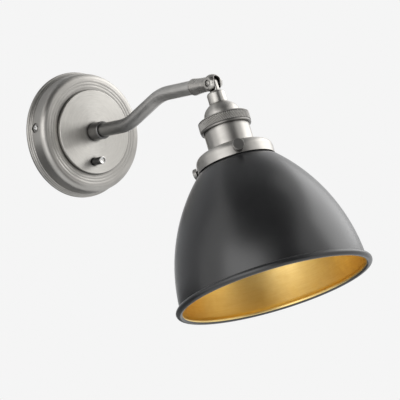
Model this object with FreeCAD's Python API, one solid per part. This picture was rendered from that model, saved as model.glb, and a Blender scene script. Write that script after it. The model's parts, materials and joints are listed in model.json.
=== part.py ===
import FreeCAD, Part
import os
from math import sin, cos, tan, asin, sqrt, radians, pi

# Bedside wall reading lamp: a round spun wall plate with a push button, an S-bent
# tubular arm, a forked swivel knuckle and a lampholder head with a domed metal shade.
# Millimetres. The wall is the plane y = 0, the lamp stands out along -Y, +Z is up, and
# the origin is the centre of the wall plate on the wall.

V = FreeCAD.Vector

# ---------------------------------------------------------------- clearances
running_gap = 0.08        # shaft in a bore that turns or slides
thread_gap = 0.03         # screw in its tapped hole
part_gap = 0.3            # two pieces that move past each other

head_edge_share = 0.35    # straight edge of a domed screw head, of its height

# ---------------------------------------------------------------- wall plate
plate_radius = 60.0       # rim against the wall
rim_height = 2.6
rim_round = 1.4
rim_groove_inset = 2.7    # groove inside the rim's edge
rim_groove_depth = 3.7    # distance of the groove from the wall
wall_bead_depth = 5.6
wall_bead_bulge = 0.45
plate_wall_inset = 3.1    # wall's foot inside the rim's edge
plate_wall_draft = 0.5
plate_front = 22.0        # flat seat of the face disc
shoulder_radius = 6.0
cover_wall = 1.2
ridge_count = 3
ridge_pitch = 2.8
ridge_height = 0.22

disc_land = 2.35          # flat between the disc and the innermost ridge
disc_thickness = 3.9
disc_edge = 0.35

bracket_inset = 8.0       # bracket's edge inside the plate's rim
bracket_thickness = 1.8
bracket_cable_hole = 10.0
slot_spacing = 60.0
slot_length = 14.0
slot_radius = 2.25
lug_width = 14.0
lug_height = 16.0
lug_thickness = 2.2
lug_gap = 0.6             # lug to the inside of the plate's wall

side_screw_depth = 10.0   # distance of the side screws from the wall
side_screw_radius = 2.0
side_screw_head = 2.9
side_screw_crown = 1.9
side_screw_length = 7.0
dimple_radius = 4.7
dimple_depth = 0.7

# ---------------------------------------------------------------- hub and nipple
hub_radius = 8.46
hub_length = 14.6
hub_edge = 0.6
nipple_radius = 5.0
nipple_bore = 3.6
nipple_in_hub = 7.6
nipple_behind = 7.0       # length behind the plate's inside
nipple_washer_radius = 8.5
nipple_washer_thickness = 1.0
nipple_nut_flats = 14.0
nipple_nut_thickness = 4.0

# ---------------------------------------------------------------- arm
tube_radius = 6.5
tube_wall = 1.25
arm_drop_start = 79.0     # first corner of the centre line, from the wall
arm_rise = 22.0           # height of the outer run over the inner one
arm_rise_run = 50.2       # distance between the two corners along the wall's normal
arm_bend_radius = 55.0
pivot_reach = 204.0       # knuckle pivot from the wall
knuckle_length = 25.5     # pivot to the seam with the tube
bush_length = 10.0
bush_bore = 4.0

# ---------------------------------------------------------------- knuckle
knuckle_swing = 7.3       # turn about the arm's end, degrees
ball_radius = 8.1
ball_front = 6.4          # flat front face, from the pivot
neck_radius = 6.95
collar_end_radius = 7.7
collar_land = 1.2
neck_start = 35.0         # degrees behind the equator where the neck leaves the ball
neck_waist = 0.68         # place of the thinnest part, of the knuckle's length
cheek_half = 6.4          # flat outer faces of the fork
flat_reach = 8.0          # straight part of the flats behind the pivot
flat_runout = 14.0        # radius of the cutter that leaves the flats
slot_half = 3.5
slot_back = 6.4           # slot's end wall behind the pivot
slot_top = 6.3            # crown of the slot's arch over the pivot
spigot_nut_thickness = 2.0
knuckle_wire_bore = 2.6
pivot_radius = 1.95
pivot_head_radius = 2.8
pivot_head_crown = 1.3
pivot_head_recess_radius = 3.1
pivot_head_recess = 1.1
pivot_driver_slot = 0.9
pivot_nut_flats = 7.0
pivot_nut_thickness = 2.2
pivot_tip = 0.4           # pivot screw's end outside its nut
washer_radius = 2.8

# ---------------------------------------------------------------- head, along its own axis
head_tilt = 16.7          # degrees outward from straight down
tongue_half = 2.6
tongue_round = 5.0        # tongue's rounded end about the pivot
tongue_edge = 1.8         # rounding along the tongue's rim
stub_radius = 8.3
stub_gap = 0.9            # stub's shoulder to the fork's ball
stub_round = 2.2
stub_end = 20.2
stub_bore = 2.3
wire_hole_radius = 1.4
spigot_radius = 5.0
spigot_length = 8.0
cap_nut_flats = 14.0
cap_nut_thickness = 3.5

dome_radius = 16.3
dome_height = 13.4
dome_equator = 31.6
dome_wall = 1.3
skirt_top = 35.0
skirt_radius = 21.4
skirt_length = 4.0

ring_radius = 23.1
ring_top = 33.7
ring_bottom = 44.2
ring_round = 1.1
ring_lip = 1.9            # plain bright band under the knurl
ring_step = 0.35          # band below the knurl's crests
ring_bevel = 0.7          # bevel at the band's lower edge

barrel_radius = 20.5
barrel_wall = 1.2
barrel_lip = 21.2
flange_thickness = 1.4    # lampholder's clamped flange
barrel_lip_thickness = 1.2

collar_radius = 34.7
collar_wall = 1.2
collar_top = 64.0
collar_corner = 6.5
collar_bottom = 77.6

screw_count = 3
screw_first_angle = 123.0  # degrees about the head's axis
screw_level = 71.7
thumb_shank_radius = 1.95
thumb_neck_radius = 2.6
thumb_head_radius = 5.1
thumb_head_thickness = 3.6
thumb_head_round = 0.5
thumb_stand_off = 2.5     # head's underside over the collar

holder_radius = 18.9
holder_nose_radius = 17.2
holder_top = 37.0
holder_mouth = 84.0
holder_cavity = 14.5
holder_floor = 57.0
shell_bore = 13.3         # contact shell's inner radius
shell_wall = 0.8
shell_inset = 2.0
contact_radius = 5.0
contact_thickness = 1.0
contact_crown = 1.2
shell_lift = 0.8          # shell's inner end above the centre contact

shade_shoulder_radius = 36.5  # where the dome's one long arc begins under the collar
shade_rim_radius = 83.2   # where that arc ends, parallel to the axis
shade_rim_level = 194.0
shade_wall = 1.0
shade_neck_radius = 32.2
shade_neck_top = 68.4
shade_flare = 2.6         # level of the shoulder under the collar
shade_top_hole = 26.0
bead_radius = 2.9
bead_stand_out = 1.4      # rolled bead's centre outside the dome's widest wall
bead_drop = 2.1           # and above the rim's level

# ---------------------------------------------------------------- switch and wiring
switch_inset = 11.15      # push button's axis inside the disc's edge
switch_half = 7.5
switch_back = 5.0
switch_length = 12.8
switch_corner = 1.5
switch_bush_radius = 5.5
switch_bush_in_disc = 2.4
switch_nut_flats = 14.0
switch_nut_gap = 0.2
button_radius = 3.6
button_reach = 13.7       # stands out of the disc
button_root = 9.5         # inner end, from the wall
button_travel = 2.5
button_edge = 0.5

block_width = 28.0
block_height = 12.0
block_depth = 11.0
block_bottom = 24.0
block_corner = 1.2
terminal_count = 3
terminal_pitch = 8.0
terminal_screw_radius = 1.8
terminal_screw_height = 0.8
terminal_hole_radius = 2.6
terminal_hole_depth = 5.0
terminal_screw_place = 0.6  # up the block's height

earth_screw_x = -30.0
earth_screw_z = -22.0
earth_screw_radius = 1.9
earth_head_radius = 3.6
earth_head_height = 2.0
earth_screw_stub = 4.0

flex_radius = 2.0
flex_depth = 6.0          # distance of the flex from the wall under the block
flex_bend = 9.0
flex_end_gap = 0.6
head_flex_radius = 1.7
head_flex_start = 16.5
lead_radius = 0.9
lead_depth = 9.0
lead_spread = 4.0
lead_bend = 24.0

# ---------------------------------------------------------------- places that follow
rim_groove_radius = plate_radius - rim_groove_inset
plate_wall_radius = plate_radius - plate_wall_inset
ridge_end = plate_wall_radius - plate_wall_draft - shoulder_radius
ridge_start = ridge_end - ridge_count * ridge_pitch
disc_radius = ridge_start - disc_land
bracket_radius = plate_radius - bracket_inset
switch_drop = disc_radius - switch_inset
cover_inside = plate_front - cover_wall
disc_front = plate_front + disc_thickness
hub_front = disc_front + hub_length
tube_start = disc_front + nipple_in_hub + part_gap
seam = pivot_reach - knuckle_length
tube_end = seam - part_gap
tube_bore = tube_radius - tube_wall
stub_top = ball_radius + stub_gap
skirt_bottom = skirt_top + skirt_length
flange_bottom = skirt_bottom + flange_thickness
lip_bottom = flange_bottom + barrel_lip_thickness
screw_step = 360.0 / screw_count
bead_center_radius = shade_rim_radius + bead_stand_out
bead_level = shade_rim_level - bead_drop
shade_begin = collar_bottom + shade_flare
arc_side = shade_rim_radius - shade_shoulder_radius
arc_height = shade_rim_level - shade_begin
shade_arc_radius = (arc_side ** 2 + arc_height ** 2) / (2 * arc_side)

WALL = FreeCAD.Placement(V(0, 0, 0), FreeCAD.Rotation(V(1, 0, 0), 90))
PIVOT = V(0, -pivot_reach, arm_rise)
KNUCKLE = FreeCAD.Placement(PIVOT, FreeCAD.Rotation(V(0, 1, 0), -knuckle_swing))
HEAD = KNUCKLE.multiply(
    FreeCAD.Placement(V(0, 0, 0), FreeCAD.Rotation(V(1, 0, 0), 180 - head_tilt)))


# ---------------------------------------------------------------- helpers
def placed(shape, placement):
    """The shape carried from its own frame into the lamp's frame."""
    moved = shape.copy()
    moved.Placement = placement.multiply(moved.Placement)
    return moved


def outline(points, plane=lambda a, b: V(a, 0, b)):
    """Closed face; a plain point is reached by a line, a pair (via, end) by an arc."""
    start = plane(*points[0])
    here = start
    edges = []
    for step in points[1:]:
        if isinstance(step[0], tuple):
            via, end = plane(*step[0]), plane(*step[1])
            edges.append(Part.Arc(here, via, end).toShape())
        else:
            end = plane(*step)
            if here.distanceToPoint(end) > 1e-6:
                edges.append(Part.makeLine(here, end))
        here = end
    if here.distanceToPoint(start) > 1e-6:
        edges.append(Part.makeLine(here, start))
    return Part.Face(Part.Wire(edges))


def turned(*points):
    """Solid of revolution about the local Z axis from (radius, level) points."""
    return outline(points).revolve(V(0, 0, 0), V(0, 0, 1), 360)


def rod(radius, level, length, x=0.0, y=0.0):
    """Cylinder along the local Z axis."""
    return Part.makeCylinder(radius, length, V(x, y, level))


def ring(outer, inner, level, length):
    return rod(outer, level, length).cut(rod(inner, level - 1, length + 2))


def hexagon(flats, level, length, bore):
    """Hexagon nut along the local Z axis."""
    corner = flats / 2 / cos(pi / 6)
    points = [(corner * cos(k * pi / 3), corner * sin(k * pi / 3)) for k in range(6)]
    face = outline(points, lambda a, b: V(a, b, level))
    return face.extrude(V(0, 0, length)).cut(rod(bore, level - 1, length + 2))


def on_arc(center, radius, degrees_up):
    """Point on a circle of the (radius, level) plane."""
    turn = radians(degrees_up)
    return (center[0] + radius * cos(turn), center[1] + radius * sin(turn))


def route(corners, radii):
    """Wire of straight runs through the corners, joined by tangent arcs."""
    edges = []
    here = corners[0]
    for before, corner, after, radius in zip(corners, corners[1:], corners[2:], radii):
        back = (before - corner).normalize()
        ahead = (after - corner).normalize()
        half = back.getAngle(ahead) / 2
        reach = radius / tan(half)
        entry = corner + back * reach
        leave = corner + ahead * reach
        middle = (back + ahead).normalize()
        via = corner + middle * (radius / sin(half) - radius)
        edges.append(Part.makeLine(here, entry))
        edges.append(Part.Arc(entry, via, leave).toShape())
        here = leave
    edges.append(Part.makeLine(here, corners[-1]))
    return Part.Wire(edges)


def swept(wire, radius):
    """Round bar along a route."""
    first = wire.Edges[0]
    start = first.valueAt(first.FirstParameter)
    heading = first.tangentAt(first.FirstParameter)
    section = Part.Wire(Part.makeCircle(radius, start, heading))
    return wire.makePipeShell([section], True, True)


# ---------------------------------------------------------------- wall side
def cover_shell():
    """Outside of the spun plate less its inside, both turned about the same axis."""
    lean = plate_wall_radius - plate_wall_draft
    top = plate_front
    corner = (lean - shoulder_radius, top - shoulder_radius)
    profile = [(0, 0), (plate_radius, 0), (plate_radius, rim_height)]
    rim_corner = (plate_radius - rim_round, rim_height - rim_round)
    profile[-1] = (plate_radius, rim_corner[1])
    profile.append((on_arc(rim_corner, rim_round, 45), on_arc(rim_corner, rim_round, 90)))
    profile.append((rim_groove_radius, rim_groove_depth))
    crest = rim_groove_radius + wall_bead_bulge
    profile.append(((crest, (rim_groove_depth + wall_bead_depth) / 2),
                    (plate_wall_radius, wall_bead_depth)))
    profile.append((lean, corner[1]))
    profile.append((on_arc(corner, shoulder_radius, 45), on_arc(corner, shoulder_radius, 90)))
    for k in reversed(range(ridge_count)):
        inner = ridge_start + k * ridge_pitch
        outer = inner + ridge_pitch
        profile.append((outer, top))
        profile.append((((inner + outer) / 2, top + ridge_height), (inner, top)))
    profile.append((0, top))
    outside = turned(*profile)

    floor = cover_inside
    inner_lean = lean - cover_wall
    inner_corner_radius = shoulder_radius - cover_wall
    inner_corner = (inner_lean - inner_corner_radius, floor - inner_corner_radius)
    inside = turned(
        (0, -1),
        (plate_wall_radius - cover_wall, -1),
        (plate_wall_radius - cover_wall, wall_bead_depth),
        (inner_lean, inner_corner[1]),
        (on_arc(inner_corner, inner_corner_radius, 45),
         on_arc(inner_corner, inner_corner_radius, 90)),
        (0, floor))
    return outside.cut(inside)


def plate_cover():
    """Spun wall plate: rolled rim, drafted wall, rounded shoulder and turned ridges."""
    body = cover_shell()
    body = body.cut(rod(nipple_radius + running_gap, cover_inside - 1, cover_wall + 2))
    body = body.cut(rod(switch_bush_radius + running_gap, cover_inside - 1, cover_wall + 2,
                        y=-switch_drop))
    for side in (-1, 1):
        outward = V(side, 0, 0)
        seat = side * (side_wall_radius() - dimple_depth)
        hole = Part.makeCylinder(side_screw_radius + part_gap, plate_radius,
                                 V(0, 0, side_screw_depth), outward)
        dimple = Part.makeCylinder(dimple_radius, dimple_depth + 5,
                                   V(seat, 0, side_screw_depth), outward)
        body = body.cut(hole).cut(dimple)
    return placed(body, WALL)


def side_wall_radius():
    """Radius of the plate's outer wall at the side screws."""
    run = plate_front - shoulder_radius - wall_bead_depth
    part = (side_screw_depth - wall_bead_depth) / run
    return plate_wall_radius - plate_wall_draft * part


def face_disc():
    """Flat disc on the plate's front, bored for the nipple and the push button."""
    body = turned(
        (0, plate_front),
        (disc_radius, plate_front),
        (disc_radius, disc_front - disc_edge),
        (disc_radius - disc_edge, disc_front),
        (0, disc_front))
    body = body.cut(rod(nipple_radius + running_gap, plate_front - 1, disc_thickness + 2))
    body = body.cut(rod(button_radius + part_gap, plate_front - 1, disc_thickness + 2,
                        y=-switch_drop))
    body = body.cut(rod(switch_bush_radius + running_gap, plate_front - 1,
                        switch_bush_in_disc + 1 + running_gap, y=-switch_drop))
    return placed(body, WALL)


def slot_cutter(x, length, radius, thickness):
    """Slotted hole along X through a plate."""
    half = length / 2 - radius
    bar = Part.makeBox(2 * half, 2 * radius, thickness + 2, V(x - half, -radius, -1))
    ends = rod(radius, -1, thickness + 2, x=x - half)
    return bar.fuse([ends, rod(radius, -1, thickness + 2, x=x + half)])


def mounting_bracket():
    """Round steel plate on the wall with two slots, a cable hole and two bent lugs."""
    body = rod(bracket_radius, 0, bracket_thickness)
    lug_face = plate_wall_radius - cover_wall - lug_gap
    lug_reach = sqrt(lug_face ** 2 - (lug_width / 2) ** 2)
    for side in (-1, 1):
        start = 0 if side > 0 else -lug_reach
        arm = Part.makeBox(lug_reach, lug_width, bracket_thickness, V(start, -lug_width / 2, 0))
        at = lug_reach - lug_thickness if side > 0 else -lug_reach
        lug = Part.makeBox(lug_thickness, lug_width, lug_height, V(at, -lug_width / 2, 0))
        body = body.fuse([arm, lug])
    body = body.removeSplitter()
    for side in (-1, 1):
        body = body.cut(slot_cutter(side * slot_spacing / 2, slot_length, slot_radius,
                                    bracket_thickness))
        body = body.cut(Part.makeCylinder(side_screw_radius + thread_gap, plate_radius,
                                          V(0, 0, side_screw_depth), V(side, 0, 0)))
    body = body.cut(rod(bracket_cable_hole, -1, bracket_thickness + 2))
    body = body.cut(rod(earth_screw_radius + thread_gap, -1, bracket_thickness + 2,
                        earth_screw_x, earth_screw_z))
    return placed(body, WALL)


def cap_arc(radius, level, rise):
    """Arc of a spherical cap from its edge up to its top on the axis."""
    sphere = (radius ** 2 + rise ** 2) / (2 * rise)
    half = asin(radius / sphere) / 2
    via = (sphere * sin(half), level + rise - sphere * (1 - cos(half)))
    return (via, (0, level + rise))


def domed_screw(shank, length, head, crown):
    """Screw whose head is a spherical cap on a low edge; the shank points to -Z."""
    edge = head_edge_share * crown
    top = turned((0, 0), (head, 0), (head, edge), cap_arc(head, edge, crown - edge))
    return top.fuse(rod(shank, -length, length))


def side_screws():
    """The pair of screws that pull the plate onto the bracket's lugs."""
    solids = []
    seat = side_wall_radius() - dimple_depth
    for side in (-1, 1):
        screw = domed_screw(side_screw_radius, side_screw_length, side_screw_head,
                            side_screw_crown)
        slot = Part.makeBox(2 * side_screw_head + 2, pivot_driver_slot, side_screw_crown,
                            V(-side_screw_head - 1, -pivot_driver_slot / 2,
                              side_screw_crown / 2))
        screw = screw.cut(slot)
        turn = FreeCAD.Rotation(V(0, 0, 1), V(side, 0, 0))
        solids.append(placed(screw, FreeCAD.Placement(V(side * seat, 0, side_screw_depth), turn)))
    return placed(Part.makeCompound(solids), WALL)


def arm_hub():
    """Turned collar that carries the arm, screwed on the nipple against the disc."""
    body = turned(
        (0, disc_front),
        (hub_radius, disc_front),
        (hub_radius, hub_front - hub_edge),
        (hub_radius - hub_edge, hub_front),
        (0, hub_front))
    body = body.cut(rod(nipple_radius + thread_gap, disc_front - 1,
                        tube_start - disc_front + 1.1))
    body = body.cut(rod(tube_radius + thread_gap, tube_start, hub_length))
    return placed(body, WALL)


def threaded_nipple():
    """Hollow threaded tube that clamps hub, disc and plate and lets the flex through."""
    start = cover_inside - nipple_behind
    body = ring(nipple_radius, nipple_bore, start, disc_front + nipple_in_hub - start)
    return placed(body, WALL)


def nipple_washer():
    level = cover_inside - nipple_washer_thickness
    body = ring(nipple_washer_radius, nipple_radius + thread_gap, level,
                nipple_washer_thickness)
    return placed(body, WALL)


def nipple_nut():
    level = cover_inside - nipple_washer_thickness - nipple_nut_thickness
    body = hexagon(nipple_nut_flats, level, nipple_nut_thickness, nipple_radius + thread_gap)
    return placed(body, WALL)


def arm_corners(first, last):
    """Corners of the arm's centre line between two distances from the wall."""
    return [
        V(0, -first, 0),
        V(0, -arm_drop_start, 0),
        V(0, -(arm_drop_start + arm_rise_run), arm_rise),
        V(0, -last, arm_rise)]


def arm_tube():
    """Tube with two equal bends that lift its outer run."""
    bends = [arm_bend_radius, arm_bend_radius]
    wire = route(arm_corners(tube_start, tube_end), bends)
    return swept(wire, tube_radius).cut(swept(wire, tube_bore))


def end_bush():
    """Bush pressed into the tube's end; the knuckle's spigot turns in it."""
    body = ring(tube_bore - thread_gap, bush_bore, tube_end - bush_length, bush_length)
    return placed(body, raised(WALL))


def raised(placement):
    """The wall frame moved up to the arm's outer run."""
    return FreeCAD.Placement(V(0, 0, arm_rise), placement.Rotation)


# ---------------------------------------------------------------- knuckle
def knuckle_blank():
    """Turned blank about the arm's end: ball, waisted neck, collar and spigot."""
    root = knuckle_length + part_gap + bush_length + part_gap + spigot_nut_thickness
    face = outline([
        (0, -ball_front),
        (sqrt(ball_radius ** 2 - ball_front ** 2), -ball_front),
        ((ball_radius, 0), on_arc((0, 0), ball_radius, neck_start)),
        ((neck_radius, knuckle_length * neck_waist),
         (collar_end_radius, knuckle_length - collar_land)),
        (collar_end_radius, knuckle_length),
        (bush_bore - running_gap, knuckle_length),
        (bush_bore - running_gap, root),
        (0, root)], lambda r, a: V(r, a, 0))
    return face.revolve(V(0, 0, 0), V(0, 1, 0), 360)


def fork_slot():
    """Arched slot through the fork, open to the front and below."""
    start = -2 * ball_radius
    spring = slot_top - slot_half
    face = outline([
        (-slot_half, start),
        (-slot_half, spring),
        ((0, slot_top), (slot_half, spring)),
        (slot_half, start)], lambda x, z: V(x, start, z))
    return face.extrude(V(0, slot_back - start, 0))


def cheek_cutter(side):
    """Flat on one side of the fork, leaving the neck on the cutter's radius."""
    reach = 2 * ball_radius
    near = cheek_half
    far = cheek_half + flat_runout
    run = on_arc((far, flat_reach), flat_runout, 135)
    face = outline([
        (near, -reach),
        (near, flat_reach),
        (run, (far, flat_reach + flat_runout)),
        (far + 1, flat_reach + flat_runout),
        (far + 1, -reach)], lambda x, y: V(side * x, y, -reach))
    return face.extrude(V(0, 0, 2 * reach))


def knuckle_fork():
    """Forked ball end that turns on the arm and holds the tongue between its cheeks."""
    body = knuckle_blank()
    body = body.cut(fork_slot())
    body = body.cut(cheek_cutter(-1)).cut(cheek_cutter(1))
    across = V(1, 0, 0)
    bore = Part.makeCylinder(pivot_radius + thread_gap, 4 * cheek_half,
                             V(-2 * cheek_half, 0, 0), across)
    recess = Part.makeCylinder(pivot_head_recess_radius, cheek_half,
                               V(pivot_head_recess - 2 * cheek_half, 0, 0), across)
    wire = Part.makeCylinder(knuckle_wire_bore, 2 * knuckle_length, V(0, 0, 0), V(0, 1, 0))
    return placed(body.cut(bore).cut(recess).cut(wire), KNUCKLE)


def spigot_nut():
    """Nut inside the tube that keeps the knuckle's spigot in its bush."""
    level = knuckle_length + part_gap + bush_length + part_gap
    body = Part.makeCylinder(tube_bore - part_gap, spigot_nut_thickness, V(0, level, 0),
                             V(0, 1, 0))
    bore = Part.makeCylinder(bush_bore - running_gap + thread_gap, spigot_nut_thickness + 2,
                             V(0, level - 1, 0), V(0, 1, 0))
    return placed(body.cut(bore), KNUCKLE)


def friction_washers():
    """One washer on each side of the tongue."""
    thickness = slot_half - tongue_half - running_gap
    solids = []
    for side in (-1, 1):
        start = V(side * slot_half, 0, 0)
        body = Part.makeCylinder(washer_radius, thickness, start, V(-side, 0, 0))
        bore = Part.makeCylinder(pivot_radius + thread_gap, 2 * slot_half,
                                 V(side * 2 * slot_half, 0, 0), V(-side, 0, 0))
        solids.append(body.cut(bore))
    return placed(Part.makeCompound(solids), KNUCKLE)


def pivot_screw():
    """Slotted round-head screw through both cheeks; its head sits in a recess."""
    seat = cheek_half - pivot_head_recess
    length = seat + cheek_half + pivot_nut_thickness + pivot_tip
    screw = domed_screw(pivot_radius, length, pivot_head_radius, pivot_head_crown)
    slot = Part.makeBox(2 * pivot_head_radius + 2, pivot_driver_slot, pivot_head_crown,
                        V(-pivot_head_radius - 1, -pivot_driver_slot / 2,
                          pivot_head_crown / 2))
    turn = FreeCAD.Rotation(V(0, 0, 1), V(-1, 0, 0))
    return placed(screw.cut(slot), KNUCKLE.multiply(FreeCAD.Placement(V(-seat, 0, 0), turn)))


def pivot_nut():
    body = hexagon(pivot_nut_flats, cheek_half, pivot_nut_thickness, pivot_radius + thread_gap)
    turn = FreeCAD.Rotation(V(0, 0, 1), V(1, 0, 0))
    return placed(body, KNUCKLE.multiply(FreeCAD.Placement(V(0, 0, 0), turn)))


# ---------------------------------------------------------------- head
def tongue_section(low):
    """Section of the tongue from a distance beside its axis out to its rounded rim."""
    flat_half = tongue_half
    corner = tongue_round - tongue_edge
    inner = (flat_half - tongue_edge, corner)
    points = [(-flat_half, max(low, -corner)), (-flat_half, corner)]
    points.append((on_arc((-inner[0], corner), tongue_edge, 135), (-inner[0], tongue_round)))
    points.append((inner[0], tongue_round))
    points.append((on_arc(inner, tongue_edge, 45), (flat_half, corner)))
    points.append((flat_half, max(low, -corner)))
    if low < 0:
        points.append((on_arc((inner[0], -corner), tongue_edge, -45), (inner[0], -tongue_round)))
        points.append((-inner[0], -tongue_round))
        points.append((on_arc((-inner[0], -corner), tongue_edge, -135), points[0]))
    return outline(points, lambda x, y: V(x, y, 0))


def swivel_tongue():
    """Tongue, round stub and threaded spigot in one turned and milled piece."""
    stub = turned(
        (0, stub_top),
        (stub_radius - stub_round, stub_top),
        (on_arc((stub_radius - stub_round, stub_top + stub_round), stub_round, -45),
         (stub_radius, stub_top + stub_round)),
        (stub_radius, stub_end),
        (spigot_radius, stub_end),
        (spigot_radius, stub_end + spigot_length),
        (0, stub_end + spigot_length))
    blade = tongue_section(-tongue_round).extrude(V(0, 0, stub_top + stub_round))
    end = tongue_section(0).revolve(V(0, 0, 0), V(1, 0, 0), 360)
    body = stub.fuse([blade, end]).removeSplitter()
    pivot = Part.makeCylinder(pivot_radius + running_gap, 4 * tongue_half,
                              V(-2 * tongue_half, 0, 0), V(1, 0, 0))
    bore = rod(stub_bore, head_flex_start - 1, stub_end + spigot_length)
    behind = (stub_radius + tongue_round) / 2
    start = V(0, -behind, stub_top - 1)
    wire_hole = Part.makeCylinder(wire_hole_radius, 12, start,
                                  V(0, 0, head_flex_start + 1) - start)
    return placed(body.cut(pivot).cut(bore).cut(wire_hole), HEAD)


def cap_nut():
    body = hexagon(cap_nut_flats, stub_end + dome_wall, cap_nut_thickness,
                   spigot_radius + thread_gap)
    return placed(body, HEAD)


def dome_point(radius, height, level_radius):
    """Point of the dome's quarter ellipse at one radius."""
    rise = height * sqrt(1 - (level_radius / radius) ** 2)
    return (level_radius, dome_equator - rise)


def dome_curve(radius, height, first):
    """Edges of a quarter-ellipse curve from a radius out to the equator."""
    count = 9
    start = dome_point(radius, height, first)
    angle = [i / (count - 1) for i in range(count)]
    begin = asin(first / radius)
    points = []
    for part in angle:
        reach = radius * sin(begin + (pi / 2 - begin) * part)
        points.append(V(*flat(dome_point(radius, height, min(reach, radius)))))
    curve = Part.BSplineCurve()
    curve.interpolate(points, InitialTangent=ellipse_tangent(radius, height, first),
                      FinalTangent=V(0, 0, 1))
    return start, curve.toShape()


def flat(point):
    return (point[0], 0, point[1])


def ellipse_tangent(radius, height, at):
    part = at / radius
    return V(1, 0, height / radius * part / sqrt(1 - part ** 2)).normalize()


def dome_half(radius, height, seat_level, end):
    """Solid under a dome's curve, from a flat seat down to a level below its equator."""
    depth = (dome_equator - seat_level) / height
    seat_radius = radius * sqrt(1 - depth ** 2)
    start, curve = dome_curve(radius, height, seat_radius)
    edges = [Part.makeLine(V(0, 0, seat_level), V(*flat(start))), curve]
    edges.append(Part.makeLine(V(radius, 0, dome_equator), V(radius, 0, end)))
    edges.append(Part.makeLine(V(radius, 0, end), V(0, 0, end)))
    edges.append(Part.makeLine(V(0, 0, end), V(0, 0, seat_level)))
    return Part.Face(Part.Wire(edges)).revolve(V(0, 0, 0), V(0, 0, 1), 360)


def cap_dome():
    """Spun cap: flat seat for the stub, elliptical dome and threaded skirt."""
    floor = stub_end + dome_wall
    outside = dome_half(dome_radius, dome_height, stub_end, skirt_top)
    inside = dome_half(dome_radius - dome_wall, dome_height - dome_wall, floor,
                       skirt_top + dome_wall)
    skirt = rod(skirt_radius, skirt_top, skirt_length)
    skirt_room = rod(skirt_radius - dome_wall, skirt_top + dome_wall, skirt_length)
    body = outside.fuse(skirt).cut(inside).cut(skirt_room)
    body = body.cut(rod(spigot_radius + thread_gap, stub_end - dome_wall, 3 * dome_wall))
    return placed(body.removeSplitter(), HEAD)


def knurled_ring():
    """Screw ring that clamps the cap, the lampholder and the barrel together."""
    band = ring_bottom - ring_lip
    body = turned(
        (dome_radius + running_gap, ring_top),
        (ring_radius - ring_round, ring_top),
        (on_arc((ring_radius - ring_round, ring_top + ring_round), ring_round, -45),
         (ring_radius, ring_top + ring_round)),
        (ring_radius, band),
        (ring_radius - ring_step, band + ring_step),
        (ring_radius - ring_step, ring_bottom - ring_bevel),
        (ring_radius - ring_step - ring_bevel, ring_bottom),
        (barrel_radius + running_gap, ring_bottom),
        (barrel_radius + running_gap, lip_bottom),
        (skirt_radius + thread_gap, lip_bottom),
        (skirt_radius + thread_gap, skirt_top),
        (dome_radius + running_gap, skirt_top))
    return placed(body, HEAD)


def socket_barrel():
    """Spun sleeve with a lip under the screw ring and a lip under the collar's top."""
    bore = barrel_radius - barrel_wall
    under = collar_top + collar_wall
    body = turned(
        (bore, flange_bottom),
        (barrel_lip, flange_bottom),
        (barrel_lip, lip_bottom),
        (barrel_radius, lip_bottom),
        (barrel_radius, under),
        (barrel_radius + 2 * barrel_wall, under),
        (barrel_radius + 2 * barrel_wall, under + barrel_wall),
        (bore, under + barrel_wall))
    return placed(body, HEAD)


def screw_axis(index):
    """Outward direction of one thumb screw in the head's frame."""
    turn = radians(screw_first_angle + index * screw_step)
    return V(cos(turn), sin(turn), 0)


def gallery_collar():
    """Spun gallery cup that carries the shade, tapped for the thumb screws."""
    outer = (collar_radius - collar_corner, collar_top + collar_corner)
    inner_corner = collar_corner - collar_wall
    hole = barrel_radius + running_gap
    body = turned(
        (hole, collar_top),
        (outer[0], collar_top),
        (on_arc(outer, collar_corner, -45), (collar_radius, outer[1])),
        (collar_radius, collar_bottom),
        (collar_radius - collar_wall, collar_bottom),
        (collar_radius - collar_wall, outer[1]),
        (on_arc(outer, inner_corner, -45), (outer[0], collar_top + collar_wall)),
        (hole, collar_top + collar_wall))
    for index in range(screw_count):
        body = body.cut(Part.makeCylinder(thumb_shank_radius + running_gap, 2 * collar_radius,
                                          V(0, 0, screw_level), screw_axis(index)))
    return placed(body, HEAD)


def thumb_screw(index):
    """Flat-headed thumb screw along one radius; its tip holds the shade's neck."""
    tip = shade_neck_radius + part_gap
    neck = collar_radius + part_gap
    under = collar_radius + thumb_stand_off
    top = under + thumb_head_thickness
    body = turned(
        (0, tip),
        (thumb_shank_radius, tip),
        (thumb_shank_radius, neck),
        (thumb_neck_radius, neck),
        (thumb_neck_radius, under),
        (thumb_head_radius - thumb_head_round, under),
        (on_arc((thumb_head_radius - thumb_head_round, under + thumb_head_round),
                thumb_head_round, -45),
         (thumb_head_radius, under + thumb_head_round)),
        (thumb_head_radius, top - thumb_head_round),
        (on_arc((thumb_head_radius - thumb_head_round, top - thumb_head_round),
                thumb_head_round, 45),
         (thumb_head_radius - thumb_head_round, top)),
        (0, top))
    turn = FreeCAD.Rotation(V(0, 0, 1), screw_axis(index))
    return placed(body, HEAD.multiply(FreeCAD.Placement(V(0, 0, screw_level), turn)))


def lampholder_body():
    """Ceramic body: clamped flange, cylindrical core and nose with the lamp's socket."""
    under = collar_top + collar_wall + barrel_wall
    body = turned(
        (0, holder_top),
        (holder_radius - flange_thickness, holder_top),
        (holder_radius - flange_thickness, skirt_bottom),
        (barrel_lip, skirt_bottom),
        (barrel_lip, flange_bottom),
        (holder_radius, flange_bottom),
        (holder_radius, under),
        (holder_nose_radius, under),
        (holder_nose_radius, holder_mouth),
        (holder_cavity, holder_mouth),
        (holder_cavity, holder_floor),
        (0, holder_floor))
    return placed(body, HEAD)


def contact_shell():
    """Screw shell of the lamp's socket, lining the ceramic cavity."""
    start = holder_floor + contact_thickness + contact_crown + shell_lift
    length = holder_mouth - shell_inset - start
    body = ring(shell_bore + shell_wall, shell_bore, start, length)
    return placed(body, HEAD)


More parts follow.
